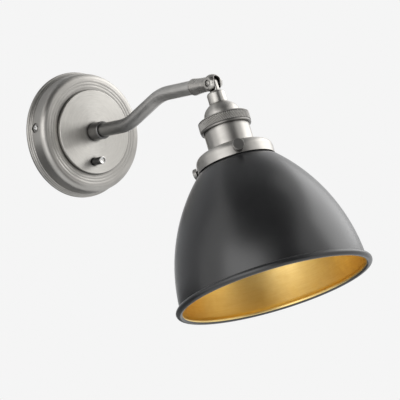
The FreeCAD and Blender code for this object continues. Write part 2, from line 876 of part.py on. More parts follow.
def centre_contact():
    """Sprung contact at the bottom of the socket."""
    top = holder_floor + contact_thickness
    body = turned(
        (0, holder_floor),
        (contact_radius, holder_floor),
        (contact_radius, top),
        cap_arc(contact_radius, top, contact_crown))
    return placed(body, HEAD)


def shade_wall_face():
    """Section of the shade: neck with its top flange, flare and one long arc."""
    center = (shade_rim_radius - shade_arc_radius, shade_rim_level)
    neck = shade_neck_radius
    neck_end = collar_bottom + part_gap

    def at(level, radius):
        return (center[0] + sqrt(radius ** 2 - (center[1] - level) ** 2), level)

    outer = shade_arc_radius
    inner = shade_arc_radius - shade_wall
    begin = shade_begin
    middle = (begin + bead_level) / 2
    return outline([
        (shade_top_hole, shade_neck_top),
        (neck, shade_neck_top),
        (neck, neck_end),
        at(begin, outer),
        (at(middle, outer), at(bead_level, outer)),
        at(bead_level, inner),
        (at(middle, inner), at(begin + shade_wall, inner)),
        (neck - shade_wall, neck_end + shade_wall / 2),
        (neck - shade_wall, shade_neck_top + shade_wall),
        (shade_top_hole, shade_neck_top + shade_wall)])


def shade():
    """Spun metal shade ending in a rolled bead."""
    body = shade_wall_face().revolve(V(0, 0, 0), V(0, 0, 1), 360)
    bead = Part.makeTorus(bead_center_radius, bead_radius, V(0, 0, bead_level), V(0, 0, 1))
    return placed(body.fuse(bead).removeSplitter(), HEAD)


def head_flex():
    """Flex from the stub's bore straight down to the lampholder."""
    body = rod(head_flex_radius, head_flex_start, holder_top - head_flex_start)
    return placed(body, HEAD)


# ---------------------------------------------------------------- switch and wiring
def switch_body():
    """Push switch behind the plate: box with a threaded bush for the button."""
    side = 2 * switch_half
    box = Part.makeBox(side, side, switch_length,
                       V(-switch_half, -switch_drop - switch_half, switch_back))
    upright = [e for e in box.Edges if abs(e.tangentAt(e.FirstParameter).z) > 0.9]
    box = box.makeFillet(switch_corner, upright)
    top = switch_back + switch_length
    bush_end = plate_front + switch_bush_in_disc
    body = box.fuse(rod(switch_bush_radius, top, bush_end - top, y=-switch_drop))
    well = button_root - button_travel - part_gap
    body = body.cut(rod(button_radius + running_gap, well, bush_end, y=-switch_drop))
    return placed(body.removeSplitter(), WALL)


def switch_nut():
    """Nut that pulls the switch's bush against the plate's inside."""
    low = switch_back + switch_length + switch_nut_gap
    body = hexagon(switch_nut_flats, low, cover_inside - low, switch_bush_radius + thread_gap)
    body.translate(V(0, -switch_drop, 0))
    return placed(body, WALL)


def switch_button():
    """Plain round push button with a chamfered face."""
    front = disc_front + button_reach
    body = turned(
        (0, button_root),
        (button_radius, button_root),
        (button_radius, front - button_edge),
        (button_radius - button_edge, front),
        (0, front))
    body.translate(V(0, -switch_drop, 0))
    return placed(body, WALL)


def terminal_x(index):
    return (index - (terminal_count - 1) / 2) * terminal_pitch


def terminal_block():
    """Moulded terminal block on the bracket, with a wire hole under each terminal."""
    box = Part.makeBox(block_width, block_height, block_depth,
                       V(-block_width / 2, block_bottom, bracket_thickness))
    upright = [e for e in box.Edges if abs(e.tangentAt(e.FirstParameter).z) > 0.9]
    body = box.makeFillet(block_corner, upright)
    for index in range(terminal_count):
        level = flex_depth if index == 1 else lead_depth
        body = body.cut(Part.makeCylinder(terminal_hole_radius, terminal_hole_depth,
                                          V(terminal_x(index), block_bottom, level),
                                          V(0, 1, 0)))
    return placed(body, WALL)


def terminal_screws():
    """Clamping screws on the block's front, one over each terminal."""
    front = bracket_thickness + block_depth
    solids = []
    for index in range(terminal_count):
        solids.append(rod(terminal_screw_radius, front, terminal_screw_height,
                          terminal_x(index),
                          block_bottom + terminal_screw_place * block_height))
    return placed(Part.makeCompound(solids), WALL)


def earth_screw():
    """Earthing screw in the bracket."""
    body = domed_screw(earth_screw_radius, bracket_thickness, earth_head_radius,
                       earth_head_height)
    body.translate(V(earth_screw_x, earth_screw_z, bracket_thickness))
    return placed(body, WALL)


def arm_flex():
    """Flex from the terminal block through nipple, arm and spigot to the knuckle's slot."""
    last = pivot_reach - slot_back - flex_end_gap
    corners = [V(0, -flex_depth, block_bottom + terminal_hole_depth), V(0, -flex_depth, 0)]
    corners += arm_corners(flex_depth, last)[1:]
    wire = route(corners, [flex_bend, arm_bend_radius, arm_bend_radius])
    return swept(wire, flex_radius)


def switch_leads():
    """Two leads from the switch up to the outer terminals."""
    solids = []
    top = -switch_drop + switch_half
    for side in (-1, 1):
        corners = [
            V(side * lead_spread, -lead_depth, top),
            V(side * lead_spread, -lead_depth, top / 2),
            V(side * terminal_pitch, -lead_depth, block_bottom / 4),
            V(side * terminal_pitch, -lead_depth, block_bottom + terminal_hole_depth)]
        solids.append(swept(route(corners, [lead_bend, lead_bend]), lead_radius))
    return Part.makeCompound(solids)


# ---------------------------------------------------------------- write the pieces
PIECES = {
    "mounting_bracket": mounting_bracket,
    "plate_cover": plate_cover,
    "face_disc": face_disc,
    "side_screws": side_screws,
    "arm_hub": arm_hub,
    "threaded_nipple": threaded_nipple,
    "nipple_washer": nipple_washer,
    "nipple_nut": nipple_nut,
    "arm_tube": arm_tube,
    "end_bush": end_bush,
    "arm_flex": arm_flex,
    "terminal_block": terminal_block,
    "terminal_screws": terminal_screws,
    "earth_screw": earth_screw,
    "switch_body": switch_body,
    "switch_nut": switch_nut,
    "switch_leads": switch_leads,
    "switch_button": switch_button,
    "knuckle_fork": knuckle_fork,
    "spigot_nut": spigot_nut,
    "friction_washers": friction_washers,
    "pivot_screw": pivot_screw,
    "pivot_nut": pivot_nut,
    "swivel_tongue": swivel_tongue,
    "cap_nut": cap_nut,
    "cap_dome": cap_dome,
    "knurled_ring": knurled_ring,
    "socket_barrel": socket_barrel,
    "gallery_collar": gallery_collar,
    "thumb_screw_1": lambda: thumb_screw(0),
    "thumb_screw_2": lambda: thumb_screw(1),
    "thumb_screw_3": lambda: thumb_screw(2),
    "lampholder_body": lampholder_body,
    "contact_shell": contact_shell,
    "centre_contact": centre_contact,
    "head_flex": head_flex,
    "shade": shade,
}

os.makedirs("parts", exist_ok=True)
for name, make in PIECES.items():
    shape = make()
    shape.exportStep("parts/" + name + ".step")
    box = shape.BoundBox
    print("%-18s %2d solid  %9.1f mm3  x %.1f..%.1f  y %.1f..%.1f  z %.1f..%.1f  %s" % (
        name, len(shape.Solids), shape.Volume, box.XMin, box.XMax, box.YMin, box.YMax,
        box.ZMin, box.ZMax, "ok" if shape.isValid() else "NOT VALID"))
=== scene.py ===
# %% [markdown]
# # A bedside wall reading lamp, dressed around its CAD frame
# The lamp's solids, joints and sizes come packed from the CAD step. This lesson loads them as a
# fixed frame, replaces the few pieces whose surface needs more than a machinist's solid, and
# gives every piece its finish: aged pewter, satin black paint, gold lining, plated steel, brass,
# ceramic, plastic or flex.
# All lengths are metres in the lamp's own frame: the wall is the plane y = 0, the lamp stands
# out along -Y, +Z is up, and the origin is the centre of the wall plate.

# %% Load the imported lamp
import json
from math import cos, pi, radians, sin, sqrt

import bpy
from mathutils import Matrix, Vector


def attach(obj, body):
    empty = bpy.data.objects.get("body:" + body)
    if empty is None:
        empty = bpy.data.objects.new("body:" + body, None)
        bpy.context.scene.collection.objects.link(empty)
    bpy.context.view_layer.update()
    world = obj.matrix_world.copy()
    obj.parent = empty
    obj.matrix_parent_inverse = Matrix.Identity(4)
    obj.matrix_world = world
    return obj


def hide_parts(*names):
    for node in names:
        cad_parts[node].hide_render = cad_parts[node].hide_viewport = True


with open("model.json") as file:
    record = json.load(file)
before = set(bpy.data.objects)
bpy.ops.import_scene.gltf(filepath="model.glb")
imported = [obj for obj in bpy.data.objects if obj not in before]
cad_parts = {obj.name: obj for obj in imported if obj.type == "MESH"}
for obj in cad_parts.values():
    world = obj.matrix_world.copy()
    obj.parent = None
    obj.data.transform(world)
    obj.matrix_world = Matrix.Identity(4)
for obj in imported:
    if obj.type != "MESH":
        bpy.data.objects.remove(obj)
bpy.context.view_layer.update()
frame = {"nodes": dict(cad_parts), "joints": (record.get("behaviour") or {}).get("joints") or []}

# %% [markdown]
# ## The camera first
# A product photograph is taken from a few metres with a long lens, which keeps circles round and
# parallel edges nearly parallel. The place, direction and focal length were worked out from the
# ellipses of the plate, the ring, the collar and the shade's rim. The camera is placed by its
# three axes: one to the right, one up, and one back from the lamp towards the lens.

# %% Camera
turn, lift = radians(-38.37), radians(-6.74)
lens_place = (-1.13778, -1.62322, -0.29639)
focal_pixels, image_width = 2096.75, 400

right = Vector((cos(turn), sin(turn), 0))
up = Vector((-sin(turn) * sin(lift), cos(turn) * sin(lift), cos(lift)))
back = Vector((sin(turn) * cos(lift), -cos(turn) * cos(lift), sin(lift)))

lens = bpy.data.cameras.new("photo_lens")
lens.sensor_width = 36.0
lens.lens = focal_pixels / image_width * lens.sensor_width
lens.clip_end = 50.0
camera = bpy.data.objects.new("photo_camera", lens)
lens_turn = Matrix((right, up, back)).transposed().to_4x4()
camera.matrix_world = Matrix.Translation(lens_place) @ lens_turn
bpy.context.scene.collection.objects.link(camera)
bpy.context.scene.camera = camera
print("lens %.1f mm" % lens.lens)

# %% [markdown]
# ## Frames of the turned pieces
# Nearly every piece of this lamp was made on a lathe, so most of the modelling happens in a
# frame whose Z axis is the piece's own turning axis. There are three such axes: the wall
# plate's, the knuckle's and the head's. The head hangs from the knuckle's pivot, tilted
# outward, and the knuckle is swung a little about the end of the arm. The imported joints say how
# much: the knuckle turns a quarter turn either way from upright and the head swings out from
# hanging straight, so the ends of their ranges tell how far each stands from there at rest.

# %% The three turning frames
MM = 0.001
joints = {joint["name"]: joint for joint in frame["joints"]}
PIVOT = Vector(joints["head_tilt"]["pos_m"])
SWING = radians(90 - joints["knuckle_swivel"]["range_deg"][1])
TILT = radians(-joints["head_tilt"]["range_deg"][0])

wall_frame = Matrix.Rotation(pi / 2, 4, "X")
knuckle_frame = Matrix.Translation(PIVOT) @ Matrix.Rotation(-SWING, 4, "Y")
head_frame = knuckle_frame @ Matrix.Rotation(pi - TILT, 4, "X")
head_axis = (head_frame.to_3x3() @ Vector((0, 0, 1))).normalized()
print("pivot", tuple(PIVOT), "head axis", tuple(round(v, 4) for v in head_axis))

# %% [markdown]
# ## A lathe in code
# A lathe turns one outline about an axis, and so does this function. The outline is a closed
# loop of (radius, level) points in millimetres, and each outline edge becomes a strip of quads.
# Quads in rows give clean shading, which a boolean or a plain cylinder would not. Edges sharper
# than 35 degrees stay crisp, the rest shade smoothly.

# %% Lathe helpers
def arc(center, radius, first, last, count):
    """Points on a circle in the (radius, level) plane, angles in degrees."""
    points = []
    for i in range(count + 1):
        angle = radians(first + (last - first) * i / count)
        points.append((center[0] + radius * cos(angle), center[1] + radius * sin(angle)))
    return points


def finish_mesh(name, verts, faces, place, crease=35):
    """Mesh object from millimetre vertices carried into the lamp's frame."""
    mesh = bpy.data.meshes.new(name)
    mesh.from_pydata([tuple(place @ (Vector(v) * MM)) for v in verts], [], faces)
    mesh.validate()
    for polygon in mesh.polygons:
        polygon.use_smooth = True
    mesh.set_sharp_from_angle(angle=radians(crease))
    mesh.update()
    piece = bpy.data.objects.new(name, mesh)
    bpy.context.scene.collection.objects.link(piece)
    return piece


def turn_outline(outline, steps, closed=True, wave=None):
    """Vertices and quads of an outline turned about Z.

    The outline runs with its solid on the left. A wave adds to the radius of each point.
    """
    verts, faces = [], []
    for i in range(steps):
        angle = 2 * pi * i / steps
        for radius, level in outline:
            if wave:
                radius += wave(angle, level)
            verts.append((radius * cos(angle), radius * sin(angle), level))
    rows = len(outline)
    for i in range(steps):
        here, ahead = i * rows, (i + 1) % steps * rows
        for k in range(rows if closed else rows - 1):
            j = (k + 1) % rows
            faces.append((here + k, here + j, ahead + j, ahead + k))
    return verts, faces


# %% [markdown]
# ## The spun shade
# The real shade is a disc of thin steel, spun over a former until it is a dome: a short neck
# with a flange at the top, one long curve down to the rim, and the edge rolled outward into a
# bead. It is painted satin black outside, and lined with gold inside. One closed outline holds
# both skins and the bead, so the sheet has a real thickness of 1 mm. Each strip of the outline
# knows whether it is painted or lined, because the two finishes meet on an edge of the mesh. The
# paint wraps around the bead and over its lower edge, so they meet on the bead's inner side.
# Angles on the bead start from the outward direction, and the lower edge is at 90 degrees.

# %% The dome's curve and the bead
NECK, NECK_TOP, NECK_END, SHEET = 32.2, 68.4, 77.9, 1.0
NECK_HOLE, NECK_ROUND, NECK_STEP = 26.0, 0.8, 4.0
NECK_SWEEP = ((0, -0.9), (0.25, -0.1), (1.1, 0.55))
SHOULDER, SHOULDER_LEVEL = 36.5, 80.2
RIM, RIM_LEVEL = 83.2, 194.0
BEAD, BEAD_AT, BEAD_LEVEL = 2.9, 84.6, 191.9
DOME_ROWS, BEAD_ROWS, LINING_STARTS = 60, 40, 140

side, height = RIM - SHOULDER, RIM_LEVEL - SHOULDER_LEVEL
DOME = (side ** 2 + height ** 2) / (2 * side)


def wall_radius(level, inset=0.0):
    """Radius of the dome's long curve at a level, on a skin set in by some millimetres."""
    return RIM - DOME + sqrt((DOME - inset) ** 2 - (RIM_LEVEL - level) ** 2)


def meets_bead(inset, low, high):
    """Angle on the bead's circle where a skin of the wall runs into it."""
    for _ in range(40):
        angle = (low + high) / 2
        at = (BEAD_AT + BEAD * cos(radians(angle)), BEAD_LEVEL + BEAD * sin(radians(angle)))
        inside = at[0] < wall_radius(at[1], inset)
        low, high = (angle, high) if inside else (low, angle)
    return angle


outer_meet = meets_bead(0.0, -179, -90)
inner_meet = meets_bead(SHEET, -179, -90)
bead = arc((BEAD_AT, BEAD_LEVEL), BEAD, outer_meet, inner_meet + 360, BEAD_ROWS)
print("dome radius %.1f mm, bead from %.0f to %.0f degrees" % (DOME, outer_meet, inner_meet + 360))

# %% Outline of the shade
# the neck's flange, its straight wall and the small sweep that leads into the dome
outer_skin = [(NECK_HOLE, NECK_TOP), (NECK - NECK_ROUND, NECK_TOP)]
outer_skin += arc((NECK - NECK_ROUND, NECK_TOP + NECK_ROUND), NECK_ROUND, -60, 0, 3)
outer_skin += [(NECK, NECK_TOP + NECK_STEP)]
outer_skin += [(NECK + out, NECK_END + down) for out, down in NECK_SWEEP]
# the dome, from the shoulder down to the bead, and back up on the inside
outer_levels = [SHOULDER_LEVEL + (bead[0][1] - SHOULDER_LEVEL) * i / DOME_ROWS
                for i in range(DOME_ROWS)]
outer_skin += [(wall_radius(level), level) for level in outer_levels]
inner_levels = [SHOULDER_LEVEL + SHEET + (bead[-1][1] - SHOULDER_LEVEL - SHEET) * i / DOME_ROWS
                for i in range(DOME_ROWS)]
inner_skin = [(wall_radius(level, SHEET), level) for level in reversed(inner_levels)]
inner_skin += [(NECK - SHEET, NECK_END + 0.4), (NECK - SHEET, NECK_TOP + SHEET)]
inner_skin += [(NECK_HOLE, NECK_TOP + SHEET)]
shade_outline = outer_skin + bead + inner_skin
bead_turns = [outer_meet + (inner_meet + 360 - outer_meet) * i / BEAD_ROWS
              for i in range(BEAD_ROWS + 1)]
first_lined = len(outer_skin) + sum(angle < LINING_STARTS for angle in bead_turns)
print("shade outline:", len(shade_outline), "points")

# %% Turn the shade
STEPS = 216
verts, faces = turn_outline(shade_outline, STEPS)
spun_shade = finish_mesh("spun_shade", verts, faces, head_frame)
rows = len(shade_outline)
lined = [k % rows >= first_lined for k in range(len(faces))]
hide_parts("shade")
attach(spun_shade, "head")
print("spun shade:", len(faces), "faces,", sum(lined), "of them lined with gold")

# %% [markdown]
# ## The knurled ring
# The ring clamps cap, lampholder and barrel together and is turned with the fingers, so its edge
# carries a diamond knurl: two families of grooves that cross and leave rows of small flat-topped
# pyramids. Bump alone would leave the silhouette smooth, so each diamond is built: four sloping
# sides and a flat top, between groove crossings that lie on a grid around the ring. Plain turned
# strips close the ring above the knurl, at the smooth lip below it, and inside, where it has a
# mouth around the barrel, a wider bore that screws onto the cap's skirt, and a web at the top.

# %% Turn the ring's plain strips
RING, RING_TOP, RING_BOTTOM = 23.1, 33.7, 44.2
LIP, STEP, BEVEL, ROUND = 1.9, 0.35, 0.7, 1.1
MOUTH, MOUTH_END, BORE, WEB_LEVEL, WEB_HOLE = 20.6, 41.6, 21.45, 35.0, 16.4
DIAMONDS, ROWS, GROOVE, FLAT = 84, 4, 0.55, 0.34
knurl_top, knurl_bottom = RING_TOP + ROUND, RING_BOTTOM - LIP
valley = RING - GROOVE


def knurl_point(column, row, radius):
    """Point on the grid of half diamonds that is wrapped around the ring."""
    angle = pi * column / DIAMONDS
    level = knurl_top + (knurl_bottom - knurl_top) * row / (2 * ROWS)
    return (radius * cos(angle), radius * sin(angle), level)


ring_outline = [(valley, knurl_bottom), (RING - STEP - 0.1, knurl_bottom + 0.15)]
ring_outline += [(RING - STEP, knurl_bottom + STEP), (RING - STEP, RING_BOTTOM - BEVEL)]
ring_outline += [(RING - STEP - BEVEL * 0.3, RING_BOTTOM - BEVEL * 0.3)]
ring_outline += [(RING - STEP - BEVEL, RING_BOTTOM), (MOUTH, RING_BOTTOM), (MOUTH, MOUTH_END)]
ring_outline += [(BORE, MOUTH_END), (BORE, WEB_LEVEL), (WEB_HOLE, WEB_LEVEL)]
ring_outline += [(WEB_HOLE, RING_TOP)]
ring_outline += arc((RING - ROUND, RING_TOP + ROUND), ROUND, -90, -20, 6)
ring_outline += [(valley, knurl_top)]
verts, faces = turn_outline(ring_outline, DIAMONDS, closed=False)
rows = len(ring_outline)
print("ring outline:", rows, "points")

# %% Raise the diamonds of the knurl
crossing = {}
for column in range(2 * DIAMONDS):
    for row in range(2 * ROWS + 1):
        if (column + row) % 2:
            continue
        if row == 0:
            crossing[column, row] = column // 2 * rows + rows - 1
        elif row == 2 * ROWS:
            crossing[column, row] = column // 2 * rows
        else:
            crossing[column, row] = len(verts)
            verts.append(knurl_point(column, row, valley))

for column in range(2 * DIAMONDS):
    left, after = (column - 1) % (2 * DIAMONDS), (column + 1) % (2 * DIAMONDS)
    for row in range(2 * ROWS + 1):
        if (column + row) % 2 == 0:
            continue
        if row == 0:
            faces.append((crossing[left, 0], crossing[column, 1], crossing[after, 0]))
            continue
        if row == 2 * ROWS:
            faces.append((crossing[left, row], crossing[after, row], crossing[column, row - 1]))
            continue
        around = [(after, row), (column, row + 1), (left, row), (column, row - 1)]
        flats = [(column + FLAT, row), (column, row + FLAT), (column - FLAT, row),
                 (column, row - FLAT)]
        top = range(len(verts), len(verts) + 4)
        verts += [knurl_point(c, r, RING) for c, r in flats]
        faces.append(tuple(top))
        for k in range(4):
            j = (k + 1) % 4
            faces.append((crossing[around[k]], crossing[around[j]], top[j], top[k]))

knurled_grip = finish_mesh("knurled_grip", verts, faces, head_frame, crease=20)
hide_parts("knurled_ring")
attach(knurled_grip, "head")
print("knurled grip:", DIAMONDS * ROWS, "diamonds,", len(faces), "faces")

# %% [markdown]
# ## The lampholder's screw shell
# Under the shade the ceramic lampholder shows its brass shell. The real one is thin sheet with a
# round thread rolled into it. The wave of the thread climbs one pitch per turn, so the radius of
# each outline point depends on its level and on the angle around the axis.

# %% Roll the screw shell
PITCH, THREAD = 3.62, 0.36
SHELL_OUTER, SHELL_INNER, SHELL_TOP, SHELL_LENGTH = 14.05, 13.7, 60.0, 22.0
SHELL_ROWS, SHELL_STEPS = 100, 72
shell_levels = [SHELL_TOP + SHELL_LENGTH * i / SHELL_ROWS for i in range(SHELL_ROWS + 1)]
shell_outline = [(SHELL_OUTER, level) for level in shell_levels]
shell_outline += [(SHELL_INNER, level) for level in reversed(shell_levels)]


def rolled(angle, level):
    """Depth of the rolled thread at a level and an angle."""
    return -THREAD * (0.5 + 0.5 * cos(2 * pi * level / PITCH - angle))


verts, faces = turn_outline(shell_outline, SHELL_STEPS, wave=rolled)
faces = [tuple(reversed(face)) for face in faces]
screw_shell = finish_mesh("screw_shell", verts, faces, head_frame)
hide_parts("contact_shell")
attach(screw_shell, "head")
print("screw shell:", len(faces), "faces")

# %% [markdown]
# ## The push button
# The button is a small turned pin. Its pressed end is dished for the fingertip, and the sharp
# rim around the dish is what catches the light in a photograph. A flat cylinder end would
# reflect one dull tone, so the end is turned as a shallow dish inside a rounded rim. Behind it a
# fine groove marks the end off. Rim and dish are polished and the rest is blackened, so the
# script remembers at which point of the outline the polished end starts.

# %% Turn the push button
BUTTON, BUTTON_BACK, BUTTON_FRONT, BUTTON_DROP = 3.6, 9.5, 39.6, 28.5
BUTTON_GROOVE = ((0, 2.2), (0.18, 2.05), (0.18, 1.75), (0, 1.6))
BUTTON_RIM, BUTTON_CENTRE, BUTTON_STEPS = 0.5, 0.02, 48
BUTTON_DISH = ((2.7, 0.1), (2.1, 0.42), (1.2, 0.62), (BUTTON_CENTRE, 0.7))

button_outline = [(BUTTON_CENTRE, BUTTON_BACK), (BUTTON, BUTTON_BACK)]
button_outline += [(BUTTON - inset, BUTTON_FRONT - behind) for inset, behind in BUTTON_GROOVE]
button_outline += [(BUTTON, BUTTON_FRONT - BUTTON_RIM)]
polished_end = len(button_outline)
button_outline += arc((BUTTON - BUTTON_RIM, BUTTON_FRONT - BUTTON_RIM), BUTTON_RIM, 15, 90, 5)
button_outline += [(radius, BUTTON_FRONT - depth) for radius, depth in BUTTON_DISH]
verts, faces = turn_outline(button_outline, BUTTON_STEPS)
button_frame = wall_frame @ Matrix.Translation((0, -BUTTON_DROP * MM, 0))
push_button = finish_mesh("push_button", verts, faces, button_frame)
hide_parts("switch_button")
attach(push_button, "switch")
print("push button:", len(faces), "faces")

# %% [markdown]
# ## Shader groups: where on the lathe is this point?
# Brush marks on turned metal run around the turning axis. A shader only knows a point's
# coordinates, so this group works out the level along an axis, the radius from it, and the
# direction in which the point lies from it, which tells the angle around. Every turned finish
# starts from these three values.

# %% Helpers for shader nodes
def new_group(name, inputs, outputs):
    """Empty shader group with named sockets: (name, kind, default) in, (name, kind) out."""
    kinds = {"value": "NodeSocketFloat", "vector": "NodeSocketVector"}
    group = bpy.data.node_groups.new(name, "ShaderNodeTree")
    for label, kind, default in inputs:
        socket = group.interface.new_socket(label, in_out="INPUT", socket_type=kinds[kind])
        socket.default_value = default
    for label, kind in outputs:
        group.interface.new_socket(label, in_out="OUTPUT", socket_type=kinds[kind])
    return group, group.nodes.new("NodeGroupInput"), group.nodes.new("NodeGroupOutput")


def feed(tree, value, socket):
    """Links another node's output to a socket, or sets a plain value on it."""
    if isinstance(value, bpy.types.NodeSocket):
        tree.links.new(value, socket)
    else:
        socket.default_value = value


def calc(tree, operation, *values, clamp=False):
    """Math node on values or outputs; gives its output."""
    node = tree.nodes.new("ShaderNodeMath")
    node.operation = operation
    node.use_clamp = clamp
    for value, socket in zip(values, node.inputs):
        feed(tree, value, socket)
    return node.outputs[0]


def vector_calc(tree, operation, first, second=None, scale=None, out="Vector"):
    """Vector Math node; gives its vector or value output."""
    node = tree.nodes.new("ShaderNodeVectorMath")
    node.operation = operation
    feed(tree, first, node.inputs[0])
    if second is not None:
        feed(tree, second, node.inputs[1])
    if scale is not None:
        feed(tree, scale, node.inputs["Scale"])
    return node.outputs[out]


def remap(tree, value, low, high):
    """Map Range node that takes low to 0 and high to 1, clamped."""
    node = tree.nodes.new("ShaderNodeMapRange")
    for label, number in (("Value", value), ("From Min", low), ("From Max", high)):
        feed(tree, number, node.inputs[label])
    return node.outputs["Result"]


def noise(tree, vector, scale, detail=2.0, roughness=0.5, w=None):
    """Noise texture; with w it is four-dimensional."""
    node = tree.nodes.new("ShaderNodeTexNoise")
    node.noise_dimensions = "3D" if w is None else "4D"
    feed(tree, vector, node.inputs["Vector"])
    if w is not None:
        feed(tree, w, node.inputs["W"])
    feed(tree, scale, node.inputs["Scale"])
    feed(tree, detail, node.inputs["Detail"])
    feed(tree, roughness, node.inputs["Roughness"])
    return node.outputs["Fac"]


def blend_colors(tree, amount, first, second):
    """Mix node for colours: all first at 0, all second at 1."""
    node = tree.nodes.new("ShaderNodeMix")
    node.data_type = "RGBA"
    feed(tree, amount, node.inputs[0])
    feed(tree, first, node.inputs[6])
    feed(tree, second, node.inputs[7])
    return node.outputs[2]


print("node helpers ready")

# %% Group: place on the lathe
lathe_place, given, gives = new_group(
    "lathe_place",
    [("Origin", "vector", (0, 0, 0)), ("Axis", "vector", (0, 0, 1))],
    [("Level", "value"), ("Radius", "value"), ("Around", "vector")])
here = lathe_place.nodes.new("ShaderNodeTexCoord").outputs["Object"]
offset = vector_calc(lathe_place, "SUBTRACT", here, given.outputs["Origin"])
level = vector_calc(lathe_place, "DOT_PRODUCT", offset, given.outputs["Axis"], out="Value")
along = vector_calc(lathe_place, "SCALE", given.outputs["Axis"], scale=level)
radial = vector_calc(lathe_place, "SUBTRACT", offset, along)
lathe_place.links.new(level, gives.inputs["Level"])
lathe_place.links.new(vector_calc(lathe_place, "LENGTH", radial, out="Value"),
                      gives.inputs["Radius"])
lathe_place.links.new(vector_calc(lathe_place, "NORMALIZE", radial), gives.inputs["Around"])
print("group lathe_place")

# %% [markdown]
# ## Shader groups: brush marks, patina, tarnish with painted shade, and worn edges
# Aged pewter is made by darkening plated metal and brushing it back. Four effects repeat on its
# pieces, so each is a group with its own inputs:
#
# - `brush_marks` draws fine lines that follow the lathe, long around the axis and very narrow
#   across it, from a four-dimensional noise whose fourth value is level plus radius;
# - `patina` draws soft clouds where the darkening was left a little stronger, and fine specks;
# - the group for tarnish and painted shade finds recesses, from how much of a small half sphere
#   over the point is covered, and darkens them: partly as patina, because the darkening liquid
#   stays there and the brush doesn't reach it, and partly as painted shade;
# - `worn_edges` compares the surface's normal with one rounded over a small distance. Where they
#   differ there is an edge, which polishing has brightened, and the rounded normal also gives
#   the edge the small highlight that every real edge has.

# %% Group: brush marks
brush_marks, given, gives = new_group(
    "brush_marks",
    [("Level", "value", 0.0), ("Radius", "value", 0.0), ("Around", "vector", (0, 0, 0)),
     ("Lines", "value", 5000.0), ("Length", "value", 3.0)],
    [("Marks", "value"), ("Bands", "value")])
across = calc(brush_marks, "ADD", given.outputs["Level"], given.outputs["Radius"])
sweep = vector_calc(brush_marks, "SCALE", given.outputs["Around"], scale=given.outputs["Length"])
fine = noise(brush_marks, sweep, 1.0, 3.0, 0.65,
             w=calc(brush_marks, "MULTIPLY", across, given.outputs["Lines"]))
broad = noise(brush_marks, sweep, 0.4, 1.0, 0.5,
              w=calc(brush_marks, "MULTIPLY", across, calc(
                  brush_marks, "MULTIPLY", given.outputs["Lines"], 0.12)))
brush_marks.links.new(remap(brush_marks, fine, 0.28, 0.72), gives.inputs["Marks"])
brush_marks.links.new(remap(brush_marks, broad, 0.3, 0.7), gives.inputs["Bands"])
print("group brush_marks")

# %% Group: patina
patina, given, gives = new_group(
    "patina",
    [("Cloud Scale", "value", 40.0), ("Speck Scale", "value", 900.0)],
    [("Clouds", "value"), ("Specks", "value")])
here = patina.nodes.new("ShaderNodeTexCoord").outputs["Object"]
clouds = noise(patina, here, given.outputs["Cloud Scale"], 3.0, 0.55)
specks = noise(patina, here, given.outputs["Speck Scale"], 2.0, 0.6)
patina.links.new(remap(patina, clouds, 0.32, 0.68), gives.inputs["Clouds"])
patina.links.new(remap(patina, specks, 0.35, 0.65), gives.inputs["Specks"])
print("group patina")

# %% Group: worn edges
worn_edges, given, gives = new_group(
    "worn_edges", [("Width", "value", 0.0004)], [("Edge", "value"), ("Normal", "vector")])
rounding = worn_edges.nodes.new("ShaderNodeBevel")
rounding.samples = 6
worn_edges.links.new(given.outputs["Width"], rounding.inputs["Radius"])
facing = worn_edges.nodes.new("ShaderNodeNewGeometry").outputs["Normal"]
agree = vector_calc(worn_edges, "DOT_PRODUCT", rounding.outputs["Normal"], facing, out="Value")
worn_edges.links.new(remap(worn_edges, agree, 0.995, 0.80), gives.inputs["Edge"])
worn_edges.links.new(rounding.outputs["Normal"], gives.inputs["Normal"])
print("group worn_edges")

# %% Group: tarnish and painted shade in recesses
tarnish_and_shade, given, gives = new_group("tarnish_and_shade", [("Reach", "value", 0.002)], [("Recess", "value")])
# darkens sheltered recesses: patina in the hollows together with painted shade
shelter = tarnish_and_shade.nodes.new("ShaderNodeAmbientOcclusion")
shelter.samples = 8
tarnish_and_shade.links.new(given.outputs["Reach"], shelter.inputs["Distance"])
tarnish_and_shade.links.new(remap(tarnish_and_shade, shelter.outputs["AO"], 0.95, 0.55), gives.inputs["Recess"])
print("group tarnish")

# %% [markdown]
# ## Pewter
# All pewter pieces but the knurled ring share one recipe with different values: a warm grey
# metal, darkened in clouds and along brush marks, brighter on worn edges and nearly black in
# recesses, where the dark is partly patina and partly painted shade. The roughness rises and
# falls with the marks, and the marks also tilt the normal. The grooves are much finer than a
# pixel, so an anisotropic highlight stands in for most of them: the tangent runs around the
# turning axis, and the highlight stretches across the lines as it does on real brushed metal.

# %% Helpers for finishes
def new_finish(name):
    """Material with its Principled shader; gives material, tree and shader."""
    material = bpy.data.materials.new(name)
    material.use_nodes = True
    tree = material.node_tree
    shader = tree.nodes["Principled BSDF"]
    return material, tree, shader


def use_group(tree, group, **values):
    """Places a shader group and sets or links its inputs."""
    node = tree.nodes.new("ShaderNodeGroup")
    node.node_tree = group
    for label, value in values.items():
        feed(tree, value, node.inputs[label.replace("_", " ")])
    return node


def bump(tree, height, depth, normal=None):
    """Bump node of a depth in metres."""
    node = tree.nodes.new("ShaderNodeBump")
    node.inputs["Strength"].default_value = 1.0
    node.inputs["Distance"].default_value = depth
    tree.links.new(height, node.inputs["Height"])
    if normal is not None:
        tree.links.new(normal, node.inputs["Normal"])
    return node.outputs["Normal"]


def lathe_inputs(tree, origin, axis):
    """Level, radius and direction from an axis, ready for brush_marks."""
    place = use_group(tree, lathe_place, Origin=tuple(origin), Axis=tuple(axis))
    return {"Level": place.outputs["Level"], "Radius": place.outputs["Radius"],
            "Around": place.outputs["Around"]}


print("finish helpers ready")

# %% Pewter recipe
WARM_DARK = (0.33, 0.315, 0.295, 1)
